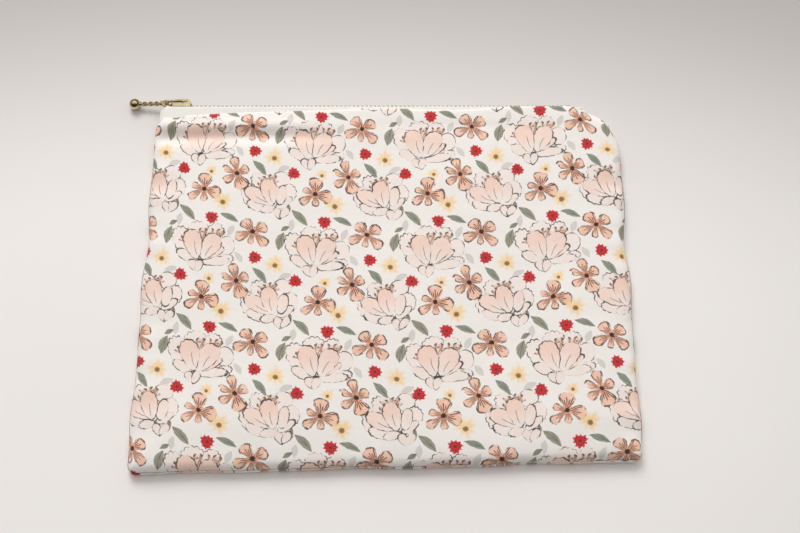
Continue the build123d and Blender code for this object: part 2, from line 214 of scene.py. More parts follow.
def round_corners(x, y, low_y, high_y):
    """Pulls the corners of a rectangular grid in to the pouch's rounded corners."""
    for (side_x, side_y), radius in CORNER_RADII.items():
        corner_y = high_y if side_y > 0 else low_y
        across = np.clip((side_x * x - (HALF_WIDTH - radius)) / radius, 0, 1)
        along = np.clip(side_y * (y - corner_y) / radius + 1, 0, 1)
        inside = (across > 0) & (along > 0)
        new_across = across * np.sqrt(1 - along ** 2 / 2)
        new_along = along * np.sqrt(1 - across ** 2 / 2)
        x = np.where(inside, side_x * (HALF_WIDTH - radius + radius * new_across), x)
        y = np.where(inside, corner_y + side_y * radius * (new_along - 1), y)
    return x, y


def hem_line(x, side):
    """Where the printed cloth ends beside the zip: lower near the slider; at the closed end of the
    front it covers the teeth."""
    middle = 0.7 * smoothstep(-60, 0, x)
    by_slider = 3.4 * smoothstep(-40, -118, x)
    over_teeth = (CHAIN_Y - 1.0 - HEM_Y) * smoothstep(36, 76, x) if side > 0 else 0
    return HEM_Y + middle - by_slider + over_teeth + 0.25 * rumple(x, x * 0, 60, 3)


def bottom_line(x):
    """The bottom edge as the pouch lies: a little askew, with slight waves."""
    return BOTTOM_Y - 1.6 + 0.026 * x + 0.35 * rumple(x, x * 0, 45, 5)


def surface_relief(x, y, from_side, from_bottom, side):
    """Puckers along the sewn edges, soft unevenness, and the front's folds, in millimetres of height."""
    side_seam = np.exp(-from_side / SIDE_PUCKER_REACH) * smoothstep(0, 3, from_side)
    bottom_seam = np.exp(-from_bottom / BOTTOM_PUCKER_REACH) * smoothstep(0, 3, from_bottom)
    relief = 0.6 * side_seam * rumple(x * 0.25, y, 15, 11 + side)
    relief += 0.30 * bottom_seam * rumple(x, y * 0.3, 19, 17 + side)
    uneven = 0.35 * rumple(x, y, 70, 23 + side) + 0.12 * rumple(x, y, 26, 29 + side)
    relief += uneven * smoothstep(0, 20, from_side)
    if side < 0:
        return np.minimum(relief, 0) * 0.3
    by_slider = smoothstep(-12, -70, x) * smoothstep(0, 6, from_side)
    relief += by_slider * (1.2 * hill(84.5, 3.8, y) - 2.6 * hill(77.8, 3.6, y))
    relief -= 0.45 * hill(84, 5, y) * smoothstep(-10, 20, x) * smoothstep(112, 80, x)
    relief += 0.35 * hill(-62, 14, x + 0.35 * y) * hill(20, 55, y)
    # the zip tape runs in under the hem, so the cloth over it dips no lower than the tape
    return np.where(relief < 0, relief * smoothstep(90, 84, y), relief)


def cloth_half(side):
    """The outside of one half, and the place of each point on the flat cloth. side is 1 for the front
    and -1 for the back."""
    columns, cloth_x = edge_lines(-HALF_WIDTH, HALF_WIDTH, EDGE_ROLL, EDGE_ROLL)
    rows, cloth_y = edge_lines(BOTTOM_Y, HEM_Y, EDGE_ROLL, 0)
    share_y = (rows - BOTTOM_Y) / (HEM_Y - BOTTOM_Y)
    x, _ = np.meshgrid(columns, rows)
    low_y, high_y = bottom_line(x), hem_line(x, side)
    y = low_y + (high_y - low_y) * share_y[:, None]
    # near the bottom the rows keep their spacing, so that the rolled edge keeps its form
    near_bottom = low_y + (rows[:, None] - BOTTOM_Y)
    y = near_bottom + (y - near_bottom) * smoothstep(0, 1, share_y[:, None])

    from_side = np.minimum(x + HALF_WIDTH, HALF_WIDTH - x)
    height = roll_height(from_side, EDGE_ROLL) * roll_height(y - low_y, EDGE_ROLL)
    # the end of the zip side that is sewn shut rolls over too
    closed = smoothstep(99, 112, x)
    overhang = 0.06 * smoothstep(55, 92, x) * (side > 0)
    fall = 1 - roll_height(high_y - y, EDGE_ROLL + 3)
    height = height * (1 - np.maximum(closed, overhang) * fall)
    turned_hem = 0.05 * (1 - smoothstep(0, 1.6, high_y - y)) * smoothstep(70, 40, x)
    height = height * (1 - turned_hem)

    cloth_y = cloth_y[:, None] + y - rows[:, None]
    x, y = round_corners(x, y, low_y, high_y)
    relief = surface_relief(x, y, from_side, y - low_y, side)
    z = MID_Z + side * (HALF_THICKNESS * height + relief * smoothstep(0.2, 0.9, height))
    # away from the zip the sewn edges sink towards the table
    from_edge = np.minimum(from_side, np.maximum(y - low_y, 0))
    z = z - EDGE_SINK * np.exp(-from_edge / EDGE_SINK_WIDTH) * smoothstep(88, 60, y)
    # the side edges wave a little in plan
    wave = 0.95 * np.exp(-from_side / SIDE_PUCKER_REACH) * rumple(x * 0, y, 33, 31) * (from_side < 30)
    x = x + np.sign(x) * wave
    z = np.maximum(z, 0.02) if side < 0 else z
    cloth = np.stack(np.broadcast_arrays(cloth_x[None, :], cloth_y), -1)
    return np.stack([x, y, z], -1), cloth


def outward(points, side):
    """Unit normals of a grid of points, pointing out of the pouch."""
    along_x = np.gradient(points, axis=1)
    along_y = np.gradient(points, axis=0)
    normal = np.cross(along_x, along_y) * side
    return normal / np.maximum(np.linalg.norm(normal, axis=-1, keepdims=True), 1e-9)


def sunk(points, depth, side):
    """The same grid, sunk by depth towards the mid plane of the pouch but never through it."""
    height = np.clip(side * (points[..., 2] - MID_Z) / HALF_THICKNESS, 0, 1)
    inward = points - outward(points, side) * depth
    inward[..., 2] = MID_Z + side * np.maximum(side * (inward[..., 2] - MID_Z), 0.03 * (1 - height))
    return inward


def cloth_layers(side, word):
    """Cover, padding and lining of one half. The padding ends before the hem and the lining ends under
    the zip tape."""
    outside, cloth = cloth_half(side)

    def layer(name, start, end, rows):
        outer = sunk(outside, start, side) if start else outside
        inner = sunk(outside, end, side)
        return shell(word + name, outer[rows], inner[rows], cloth[rows], flip=side < 0)

    cover = layer("_cover", 0, CLOTH, slice(None))
    padding = layer("_padding", FLEECE_TOP, FLEECE_END, slice(0, -5))
    lining = layer("_inside", LINING_TOP, LINING_END, slice(0, -2))
    return cover, padding, lining


# ---------------------------------------------------------------- node maths
class Field:
    """A number that varies over a surface: a node's output that Python's operators build on."""

    def __init__(self, tree, socket):
        self.tree = tree
        self.socket = socket

    def maths(self, operation, *others):
        node = self.tree.nodes.new("ShaderNodeMath")
        node.operation = operation
        for place, value in zip(node.inputs, (self, *others)):
            if isinstance(value, Field):
                self.tree.links.new(value.socket, place)
            else:
                place.default_value = value
        return Field(self.tree, node.outputs[0])

    def __add__(self, other):
        return self.maths("ADD", other)

    def __sub__(self, other):
        return self.maths("SUBTRACT", other)

    def __mul__(self, other):
        return self.maths("MULTIPLY", other)

    def __truediv__(self, other):
        return self.maths("DIVIDE", other)

    def size(self):
        return self.maths("ABSOLUTE")

    def ramp(self, low, high):
        """Smoothly from 0 at low to 1 at high; falling from 1 to 0 if low is above high."""
        node = self.tree.nodes.new("ShaderNodeMapRange")
        node.interpolation_type = "SMOOTHSTEP"
        self.tree.links.new(self.socket, node.inputs["Value"])
        ends = (low, high, 0.0, 1.0) if low < high else (high, low, 1.0, 0.0)
        for name, value in zip(("From Min", "From Max", "To Min", "To Max"), ends):
            node.inputs[name].default_value = value
        return Field(self.tree, node.outputs["Result"])


def length_of(a, b):
    return (a * a).maths("ADD", b * b).maths("SQRT")


def srgb(red, green, blue):
    """A colour given as 0 to 255 display values, as the linear RGBA that nodes take."""
    def linear(value):
        value = value / 255
        return value / 12.92 if value <= 0.04045 else ((value + 0.055) / 1.055) ** 2.4
    return (linear(red), linear(green), linear(blue), 1.0)


def darkened(colour, share):
    return tuple(part * share for part in colour[:3]) + (1,)


def mix_colour(tree, share, below, above, blend="MIX"):
    """below painted over with above by share; each is a value or a Field."""
    node = tree.nodes.new("ShaderNodeMix")
    node.data_type = "RGBA"
    node.blend_type = blend
    for place, value in ((node.inputs[0], share), (node.inputs[6], below), (node.inputs[7], above)):
        if isinstance(value, Field):
            tree.links.new(value.socket, place)
        else:
            place.default_value = value
    return Field(tree, node.outputs[2])


def cloth_map(tree):
    """The place on the flat cloth, in millimetres."""
    node = tree.nodes.new("ShaderNodeUVMap")
    node.uv_map = "cloth"
    return node.outputs[0]


def axes(tree, vector):
    """The three parts of a vector, each a Field."""
    split = tree.nodes.new("ShaderNodeSeparateXYZ")
    tree.links.new(vector, split.inputs[0])
    return [Field(tree, part) for part in split.outputs]


def noise(tree, vector, scale, detail=2.0, shift=0.0):
    """Blender's noise as a Field between 0 and 1, read in the vector's own units. Each shift gives
    another pattern."""
    node = tree.nodes.new("ShaderNodeTexNoise")
    node.noise_dimensions = "4D" if shift else "3D"
    node.inputs["Scale"].default_value = scale
    node.inputs["Detail"].default_value = detail
    if shift:
        node.inputs["W"].default_value = shift
    tree.links.new(vector, node.inputs["Vector"])
    return Field(tree, node.outputs["Fac"])


# ---------------------------------------------------------------- the floral print
REPEAT_X, REPEAT_Y = 59.2, 60.5        # the print repeats after this far across and up
PRINT_ORIGIN = (29.1, 28.3)            # a red flower, on the flat cloth; the motifs are placed from it
INK = srgb(60, 48, 44)
BROWN_INK = srgb(76, 36, 24)
DARK = srgb(38, 18, 12)
CREAM = srgb(250, 245, 240)
SHADOW_CREAM = srgb(247, 240, 233)
BLUSH = srgb(250, 214, 196)
PALE_BLUSH = srgb(249, 238, 231)
STAMEN = srgb(190, 124, 76)
STAMEN_TIP = srgb(96, 68, 46)
PEACH = srgb(247, 193, 164)
PALE_PEACH = srgb(251, 216, 196)
DEEP_PEACH = srgb(236, 164, 130)
RED = srgb(226, 14, 28)
DEEP_RED = srgb(96, 4, 14)
YELLOW = srgb(253, 216, 156)
OCHRE = srgb(140, 98, 44)
SAGE = srgb(158, 156, 136)
DEEP_SAGE = srgb(100, 102, 84)
GREEN_SAGE = srgb(148, 156, 138)
GREY_LEAF = srgb(213, 208, 201)

# Petals of the two peonies, back to front: place from the flower's middle, turn in degrees, half length,
# half width, depth of colour, how much broader the tip is than the foot, and how ragged the edge is.
UPRIGHT_PEONY = (
    ((-2.6, 6.6), 90, 5.2, 5.4, 0.1, 0.0, 0.16), ((5.8, 6.2), 60, 5.0, 4.0, 0.1, 0.0, 0.16),
    ((-11.2, 1.2), 108, 7.0, 4.6, 0.15, 0.1, 0.14), ((12.2, -0.4), 80, 5.1, 4.2, 0.1, 0.0, 0.04),
    ((11.6, -8.2), 20, 3.8, 2.4, 0.1, 0.0, 0.16), ((5.6, -9.3), 5, 7.6, 2.4, 0.2, 0.1, 0.08),
    ((4.0, -5.0), 25, 7.4, 2.7, 0.6, 0.0, 0.03), ((-8.6, -7.4), 152, 5.6, 2.8, 0.3, 0.0, 0.08),
    ((-5.2, -12.4), 118, 3.0, 2.0, 0.3, 0.3, 0.06), ((-2.2, -12.6), 70, 3.3, 1.9, 0.3, 0.3, 0.06),
)
UPRIGHT_HEART = (
    ((3.3, -1.6), 61, 7.9, 4.4, 0.75, 0.36, 0.05), ((-5.2, -0.9), 103, 8.2, 4.5, 0.95, 0.38, 0.05),
)
TILTED_PEONY = (
    ((-4.6, 4.4), 140, 5.6, 4.4, 0.1, 0.0, 0.16), ((6.0, 6.4), 70, 4.6, 4.6, 0.1, 0.0, 0.03),
    ((-9.6, -4.2), 115, 7.2, 4.8, 0.15, 0.0, 0.14), ((10.0, -1.0), 85, 4.8, 3.5, 0.15, 0.0, 0.13),
    ((-6.6, -9.0), 165, 5.6, 3.0, 0.15, 0.0, 0.10), ((7.4, -6.6), 36, 5.0, 2.1, 0.3, 0.0, 0.03),
    ((6.0, -2.3), 78, 5.6, 2.7, 0.5, 0.0, 0.03), ((-1.3, -10.6), 15, 3.8, 2.1, 0.3, 0.0, 0.14),
    ((3.9, -12.9), 112, 3.1, 1.9, 0.3, 0.3, 0.10), ((7.2, -12.6), 52, 3.3, 1.8, 0.3, 0.3, 0.10),
)
TILTED_HEART = (
    ((-6.0, -3.6), 153, 7.9, 3.9, 0.7, 0.2, 0.05), ((-0.5, -0.9), 101, 7.4, 4.1, 0.95, 0.25, 0.05),
)

# Fans of stamens: place from the flower's middle, turn in degrees, half angle in radians, length, and how
# close together they stand.
UPRIGHT_STAMENS = (
    (-1.6, 0.4, 92, 0.75, 7.6, 15), (4.2, 0.0, 66, 0.5, 9.0, 19), (-8.6, -0.8, 128, 0.6, 5.0, 13),
)
TILTED_STAMENS = ((-0.6, 2.0, 88, 1.0, 6.6, 13), (-2.4, -1.4, 130, 0.5, 6.4, 17))


class Brush:
    """The colour painted so far on the cloth, and the fields that every motif is painted from: the
    place on the print, how heavily the pen presses, and a fine and a coarse unevenness."""

    SHARED = ("colour", "across", "up", "weight", "speckle", "mottle")

    def __init__(self, tree, *shared):
        self.tree = tree
        for name, field in zip(self.SHARED, shared):
            setattr(self, name, field)

    def paint(self, share, colour):
        self.colour = mix_colour(self.tree, share, self.colour, colour)

    def pen_line(self, distance, width):
        """A line along distance 0, thick and thin and here and there broken, as a hand draws it."""
        pen = distance.size() - self.weight * (width * 1.2) + width * 0.12
        return pen.ramp(0.11, -0.10) * 0.95

    def motif(self, draw, x, y, degrees, **values):
        """Paints one motif over every repeat of the place x, y, with a node group made at first use."""
        turn = math.radians(degrees)
        values = {"x": x + PRINT_ORIGIN[0], "y": y + PRINT_ORIGIN[1],
                  "cosine": math.cos(turn), "sine": math.sin(turn), **values}
        group = bpy.data.node_groups.get(draw.__name__) or self.new_group(draw, values)
        node = self.tree.nodes.new("ShaderNodeGroup")
        node.node_tree = group
        for name in self.SHARED:
            self.tree.links.new(getattr(self, name).socket, node.inputs[name])
        for name, value in values.items():
            node.inputs[name].default_value = value
        self.colour = Field(self.tree, node.outputs["painted"])

    def new_group(self, draw, values):
        group = bpy.data.node_groups.new(draw.__name__, "ShaderNodeTree")
        for name in (*self.SHARED, *values):
            kind = "NodeSocketColor" if name in ("colour", "fill", "vein") else "NodeSocketFloat"
            group.interface.new_socket(name, in_out="INPUT", socket_type=kind)
        group.interface.new_socket("painted", in_out="OUTPUT", socket_type="NodeSocketColor")
        source = group.nodes.new("NodeGroupInput")
        brush = Brush(group, *(Field(group, source.outputs[name]) for name in self.SHARED))
        field = {name: Field(group, source.outputs[name]) for name in values}
        right = (brush.across - field.pop("x")).maths("WRAP", REPEAT_X / 2, -REPEAT_X / 2)
        up = (brush.up - field.pop("y")).maths("WRAP", REPEAT_Y / 2, -REPEAT_Y / 2)
        cosine, sine = field.pop("cosine"), field.pop("sine")
        draw(brush, right * cosine + up * sine, up * cosine - right * sine, **field)
        target = group.nodes.new("NodeGroupOutput")
        group.links.new(brush.colour.socket, target.inputs["painted"])
        return group


def peony_petal(brush, u, v, long, wide, small, depth, broad, ragged, seed):
    """One outlined petal of a peony, its tip at +u."""
    u = u / long
    v = v / wide / (u * broad + 1.0)
    scallop = (v.maths("ARCTAN2", u) * 6.5 + seed).maths("SINE").size()
    rim = (length_of(u, v) - scallop * ragged - 1.0) * small
    tint = mix_colour(brush.tree, u.ramp(-1.2, 0.5) * depth, PALE_BLUSH, BLUSH)
    brush.paint(rim.ramp(0.15, -0.25) * 0.94, tint)
    brush.paint(brush.pen_line(rim, 0.235), INK)


def pen_stroke(brush, u, v, long):
    """A single pen line along u, thick at its foot and thin at its tip."""
    half = u.size() / long
    bow = (v + u * u * 0.03).size()
    brush.paint(bow.ramp(0.28, 0.08) * half.ramp(1.0, 0.6) * 0.7, INK)


def stamens(brush, u, v, spread, reach, count):
    """A fan of thin brown stamens with darker tips, round +u; every other one is shorter."""
    distance = length_of(u, v)
    angle = v.maths("ARCTAN2", u)
    fan = (spread - angle.size()).ramp(0.0, 0.14)
    ray = (angle * count).maths("COSINE")
    uneven = distance + (angle * count * 0.37).maths("SINE") * (reach * 0.12)
    brush.paint(fan * (reach - uneven).ramp(-0.2, 0.8) * brush.speckle.ramp(0.3, 0.6) * 0.42, STAMEN)
    brush.paint(fan * ray.ramp(0.1, 0.8) * (reach - uneven).ramp(0.0, 0.6) * 0.8, STAMEN)
    brush.paint(fan * ray.ramp(-0.2, 0.5) * (uneven - reach).size().ramp(0.72, 0.3) * 0.95, STAMEN_TIP)
    between = fan * ray.ramp(0.2, -0.5)
    brush.paint(between * (uneven - reach * 0.72).size().ramp(0.6, 0.2) * 0.8, STAMEN_TIP)


def peach_flower(brush, u, v, radius, seed):
    """A flower of five unequal petals with brown veins and a near-black eye."""
    distance = length_of(u, v)
    angle = v.maths("ARCTAN2", u)
    turn = (angle - angle.maths("SINE") * 0.36) * (5 / (2 * math.pi)) + 0.5
    which = turn.maths("ROUND")
    off_axis = (turn - which) * (2 * math.pi / 5)
    reach = ((which * 2.3 + seed).maths("SINE") * 0.16 + 0.84) * radius
    along = off_axis.maths("COSINE") * distance / reach
    aside = off_axis.maths("SINE") * distance / reach
    rim = length_of((along - 0.56) / 0.46, aside / (along * 0.38 + 0.07)) - 1.0
    rim = rim * radius * 0.25 + (brush.speckle - 0.5) * 0.9
    tint = mix_colour(brush.tree, along.ramp(0.15, 0.6), DEEP_PEACH, PEACH)
    tint = mix_colour(brush.tree, brush.mottle.ramp(0.4, 0.72) * along.ramp(0.3, 0.9), tint, PALE_PEACH)
    brush.paint(distance.ramp(3.4, 2.4) * 0.8, DEEP_PEACH)
    brush.paint(rim.ramp(0.2, -0.3) * 0.95, tint)
    drawn = brush.pen_line(rim, 0.24)
    fold = aside.size()
    for slope, start, end in ((0.0, 0.12, 0.78), (0.19, 0.24, 0.64), (0.36, 0.3, 0.84)):
        vein = (fold - along * slope).size() - along * 0.014
        length = along.ramp(end, end - 0.1) * along.ramp(start, start + 0.08)
        drawn = drawn.maths("MAXIMUM", vein.ramp(0.020, 0.004) * length)
    brush.paint(drawn, BROWN_INK)
    brush.paint((distance - brush.speckle).ramp(0.9, 0.5), DARK)


def red_flower(brush, u, v, radius, seed):
    """A small ragged red flower with a darker heart."""
    distance = length_of(u, v) / radius
    angle = v.maths("ARCTAN2", u)
    points = (angle * 10.0 + seed).maths("SINE")
    rim = distance - points * 0.12 - (angle * 3.0 + seed).maths("SINE") * 0.07 - brush.speckle * 0.6
    tint = mix_colour(brush.tree, points.ramp(0.1, -0.8) * distance.ramp(0.15, 0.7), RED, DEEP_RED)
    brush.paint(rim.ramp(0.76, 0.58), tint)
    brush.paint(distance.ramp(0.40, 0.10) * 0.9, DEEP_RED)


def daisy(brush, u, v, radius, seed):
    """A soft yellow daisy whose petals fade out."""
    angle = v.maths("ARCTAN2", u)
    rays = (angle * 8.0 + seed).maths("SINE") * 0.13 + (angle * 3.0 - seed).maths("SINE") * 0.1
    rim = length_of(u, v) / radius - rays
    brush.paint(rim.ramp(1.05, 0.25) * 0.95, YELLOW)
    heart = length_of(u, v + radius * 0.14) / radius
    brush.paint(heart.ramp(0.32, 0.16) * 0.95, OCHRE)


def leaf(brush, u, v, long, wide, fill, vein, veined):
    """A brushed leaf, pointed at both ends, with a darker mid vein."""
    bow = v + u * u * 0.02
    half = (u / long).size() * 2.0
    rim = bow.size() + half * half * wide * 0.5 - wide * 0.5
    rib = (u * 0.55 + bow.size() * 1.9).maths("SINE").ramp(0.55, 1.0)
    tint = mix_colour(brush.tree, rib * 0.45 + brush.mottle * 0.25, fill, vein)
    brush.paint((rim + brush.speckle * 0.3).ramp(0.34, 0.02) * (veined * 0.12 + 0.84), tint)
    brush.paint(bow.size().ramp(0.30, 0.08) * half.ramp(1.1, 0.9) * veined * 0.8, vein)


def peony(brush, x, y, outer, heart, fans):
    """Outer petals, then stamens, then the heart's petals with a pen stroke on each."""
    def petals(shapes):
        for (dx, dy), degrees, long, wide, depth, broad, ragged in shapes:
            brush.motif(
                peony_petal, x + dx, y + dy, degrees, long=long, wide=wide, small=min(long, wide),
                depth=depth, broad=broad, ragged=ragged, seed=dx)

    petals(outer)
    for dx, dy, degrees, spread, reach, count in fans:
        brush.motif(stamens, x + dx, y + dy, degrees, spread=spread, reach=reach, count=count)
    petals(heart)
    for (dx, dy), degrees, long, *_ in heart:
        brush.motif(pen_stroke, x + dx * 0.8, y + dy - 2.0, degrees, long=long * 0.55)


def floral_print(tree):
    """The cotton's print: cream ground and all motifs of one repeat, as a colour over the flat cloth."""
    cloth = cloth_map(tree)
    x, y, _ = axes(tree, cloth)
    # the cloth was cut off the grain and pulled out of square, most at its ends
    across = x + x * y * 0.000105 + y * 0.052 - x * x * 0.00009
    up = y * 1.010 - y * y * 0.00026 - x * x * 0.00043
    up = up + x * x * x * 0.0000005 - x * 0.0099 - x * y * 0.00007
    # two wobbles, in millimetres, make the lines look drawn by hand
    slow, quick = 1.0, 0.62
    across = across + noise(tree, cloth, 0.15, shift=1.0) * slow
    across = across + noise(tree, cloth, 0.75, shift=3.0) * quick
    up = up + noise(tree, cloth, 0.15, shift=2.0) * slow
    up = up + noise(tree, cloth, 0.75, shift=4.0) * quick
    mottle = noise(tree, cloth, 0.5, detail=4.0, shift=7.0)
    ground = mix_colour(tree, mottle, CREAM, SHADOW_CREAM)
    weight = noise(tree, cloth, 0.26, shift=5.0).ramp(0.34, 0.64)
    speckle = noise(tree, cloth, 2.3, shift=6.0)
    brush = Brush(tree, ground, across, up, weight, speckle, mottle)

    for x, y, degrees, long in (
        (10.1, -6.8, 62, 7.0), (42.0, -2.0, 82, 7.0), (14.6, -21.4, -58, 7.0), (38.2, -30.6, 24, 7.4),
    ):
        brush.motif(leaf, x, y, degrees, long=long, wide=3.2, fill=GREY_LEAF, vein=GREY_LEAF, veined=0.0)
    for x, y, degrees, long, wide, fill in (
        (9.6, 0.9, -24, 10.6, 3.4, GREEN_SAGE),
        (46.6, 2.4, -46, 11.6, 4.1, SAGE),
        (40.6, 7.4, 96, 5.0, 2.0, SAGE),
        (35.9, -11.3, 74, 10.4, 4.8, SAGE),
        (38.6, -4.2, 30, 5.2, 2.4, SAGE),
        (25.6, -30.4, -50, 10.4, 3.8, GREEN_SAGE),
    ):
        brush.motif(leaf, x, y, degrees, long=long, wide=wide, fill=fill, vein=DEEP_SAGE, veined=1.0)

    peony(brush, 55.1, -15.1, UPRIGHT_PEONY, UPRIGHT_HEART, UPRIGHT_STAMENS)
    peony(brush, 31.0, -43.6, TILTED_PEONY, TILTED_HEART, TILTED_STAMENS)

    for x, y, degrees, radius, seed in (
        (21.8, -6.8, 78, 10.0, 3.6), (13.3, -34.6, -21, 9.8, 2.4), (54.7, -44.6, 35, 9.8, 0.4),
    ):
        brush.motif(peach_flower, x, y, degrees, radius=radius, seed=seed)
    for x, y, radius, seed in ((5.7, 9.7, 5.6, 0.4), (33.2, -24.3, 5.4, 2.2), (-0.7, -33.6, 3.6, 1.2)):
        brush.motif(daisy, x, y, 0, radius=radius, seed=seed)
    for x, y, radius, seed in ((0, 0, 3.3, 0.3), (22.8, -21.2, 3.2, 1.7), (43.6, -33.2, 3.2, 3.0)):
        brush.motif(red_flower, x, y, 0, radius=radius, seed=seed)
    return brush.colour


# ---------------------------------------------------------------- materials
# painted light on the weave: a highlight colour for the threads' tops and a shade colour for the gaps
# between them
THREAD_TOP_PAINTED_HIGHLIGHT = srgb(255, 252, 248)
THREAD_GAP_PAINTED_SHADE = srgb(120, 108, 98)


def new_material(name, roughness):
    material = bpy.data.materials.new(name)
    material.use_nodes = True
    tree = material.node_tree
    shader = tree.nodes["Principled BSDF"]
    shader.inputs["Roughness"].default_value = roughness
    return material, tree, shader


def set_bump(tree, shader, height, strength, distance):
    bump = tree.nodes.new("ShaderNodeBump")
    bump.inputs["Strength"].default_value = strength
    bump.inputs["Distance"].default_value = distance
    tree.links.new(height.socket, bump.inputs["Height"])
    tree.links.new(bump.outputs["Normal"], shader.inputs["Normal"])


def weave(tree, pitch, has_cloth_map):
    """Height of a plain weave's threads, their thick and thin places, and the map that both are on."""
    if has_cloth_map:
        cloth = cloth_map(tree)
    else:
        in_millimetres = tree.nodes.new("ShaderNodeVectorMath")
        in_millimetres.operation = "SCALE"
        in_millimetres.inputs["Scale"].default_value = 1 / MM
        tree.links.new(tree.nodes.new("ShaderNodeTexCoord").outputs["Object"], in_millimetres.inputs[0])
        cloth = in_millimetres.outputs[0]
    across, up, height = axes(tree, cloth)
    uneven = noise(tree, cloth, 1.2, shift=9.0) * 0.5
    x = (across + uneven) * (math.pi / pitch)
    y = (up + height + uneven) * (math.pi / pitch)
    over = x.maths("SINE") * y.maths("SINE")
    warp = x.maths("SINE").size() * 0.5
    weft = y.maths("SINE").size() * 0.5
    threads = over.ramp(-0.2, 0.2) * warp + over.ramp(0.2, -0.2) * weft
    slub = noise(tree, cloth, 3.5, detail=3.0, shift=10.0)
    return threads + slub * 0.3, slub, cloth


def fabric(name, colour, pitch, printed=False, strength=0.35, has_cloth_map=True):
    """Woven cloth: a painted highlight on the threads' tops, with paler slubs, and painted shade in the
    gaps between them; slight sheen and soft creases.
    """
    material, tree, shader = new_material(name, 0.88)
    threads, slub, cloth = weave(tree, pitch, has_cloth_map)
    if printed:
        base = floral_print(tree)
    else:
        cloud = noise(tree, cloth, 0.4, detail=4.0, shift=11.0)
        base = mix_colour(tree, cloud, colour, darkened(colour, 0.93))
    # painted highlight on the threads' tops, and paler slubs
    shaded = mix_colour(tree, threads.ramp(0.0, 0.75) * 0.035 + slub * 0.02, base, THREAD_TOP_PAINTED_HIGHLIGHT)
    # painted shade in the gaps between the threads
    shaded = mix_colour(tree, threads.ramp(0.28, 0.0) * 0.16, shaded, THREAD_GAP_PAINTED_SHADE, "MULTIPLY")
    tree.links.new(shaded.socket, shader.inputs["Base Color"])
    shader.inputs["Sheen Weight"].default_value = 0.08
    shader.inputs["Sheen Roughness"].default_value = 0.6
    creases = noise(tree, cloth, 0.12, detail=3.0, shift=12.0)
    set_bump(tree, shader, threads * 0.12 + creases * 0.9, strength, 0.001)
    return material


def gold(name, colour=(0.80, 0.68, 0.44, 1), roughness=0.16):
    """Pale gold plating: polished, slightly uneven, its edges softened."""
    material, tree, shader = new_material(name, roughness)
    place = tree.nodes.new("ShaderNodeTexCoord").outputs["Object"]
    cloud = noise(tree, place, 420.0, detail=3.0, shift=1.0)
    fine = noise(tree, place, 2600.0, detail=2.0, shift=2.0)
    clouded = mix_colour(tree, cloud.ramp(0.3, 0.75), darkened(colour, 0.82), colour)
    tree.links.new(clouded.socket, shader.inputs["Base Color"])
    tree.links.new((cloud * 0.10 + fine * 0.06 + (roughness - 0.08)).socket, shader.inputs["Roughness"])
    shader.inputs["Metallic"].default_value = 1.0
    soft_edge = tree.nodes.new("ShaderNodeBevel")
    soft_edge.inputs["Radius"].default_value = 0.00014
    bump = tree.nodes.new("ShaderNodeBump")
    bump.inputs["Strength"].default_value = 0.15
    bump.inputs["Distance"].default_value = 0.00005
    tree.links.new(fine.socket, bump.inputs["Height"])
    tree.links.new(soft_edge.outputs[0], bump.inputs["Normal"])
    tree.links.new(bump.outputs[0], shader.inputs["Normal"])
    return material


def give(piece, material):
    """Gives a piece its material and the slot that the material belongs to."""
    piece.data.materials.clear()
    piece.data.materials.append(material)


printed_cotton = fabric("printed_cotton", CREAM, 0.42, printed=True)
lining_cotton = fabric("lining_cotton", srgb(240, 233, 222), 0.42)
fleece = fabric("fleece", srgb(240, 240, 236), 1.1, strength=0.6)
zip_tape = fabric("zip_tape", srgb(246, 242, 234), 0.55, strength=0.5)
thread = fabric("sewing_thread", srgb(240, 232, 220), 0.3, has_cloth_map=False)
cord = fabric("zip_cord", srgb(246, 242, 234), 0.5, has_cloth_map=False)
gold_metal = gold("gold_metal")
gold_teeth = gold("gold_teeth", (0.60, 0.45, 0.25, 1), 0.24)


# ---------------------------------------------------------------- cloth pieces
for side, word in ((1, "front"), (-1, "back")):
    cover, padding, lining = cloth_layers(side, word)
    give(cover, printed_cotton)
    give(padding, fleece)
    give(lining, lining_cotton)
    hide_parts(word + "_panel")
    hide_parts(word + "_fleece")
    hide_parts(word + "_lining")
    for piece in (cover, padding, lining):
        if side > 0:
            open_with_mouth(piece)
        else:
            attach(piece, "pouch")


# ---------------------------------------------------------------- zip tapes, cords and teeth
TAPE_HALF_THICK = 0.21
TAPE_UNDER_HEM = 0.225     # from the top of the CAD's tape down to the middle of this one
TAPE_BEND = 0.9            # radius of the fold
TAPE_HIDDEN = 8.5          # from the chain's centre to the edge under the hem
TAPE_OVERRUN = 2.0         # room at the pouch's side, and past the CAD's tape at the other end
TOOTH_PITCH = 2.3
TOOTH_WIDTH = 1.05
FIRST_TOOTH = teeth_low[0] + TOOTH_WIDTH / 2


def twin(node_name, piece_name):
    """A copy of a CAD node's mesh, which stands for the node; the node is hidden."""
    source = nodes[node_name]
    piece = bpy.data.objects.new(piece_name, source.data.copy())
    bpy.context.scene.collection.objects.link(piece)
    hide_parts(node_name)
    return piece


def woven_cord(name):
    """The corded edge of the front tape: a thin tube with many rings along it."""
    rings, corners = 240, 10
    x = np.linspace(cord_low[0], cord_high[0], rings)
    turn = np.arange(corners) * 2 * math.pi / corners
    ring = np.stack([np.cos(turn), np.sin(turn)], -1) * CORD_RADIUS + (CHAIN_Y, MID_Z + CORD_Q)
    points = np.concatenate([np.repeat(x, corners)[:, None], np.tile(ring, (rings, 1))], 1)
    index = np.arange(rings * corners).reshape(rings, corners)
    sides = quads(np.concatenate([index, index[:, :1]], 1))
    faces = [*sides[:, ::-1], range(corners)[::-1], range((rings - 1) * corners, rings * corners)]
    return make_mesh(name, points, faces)


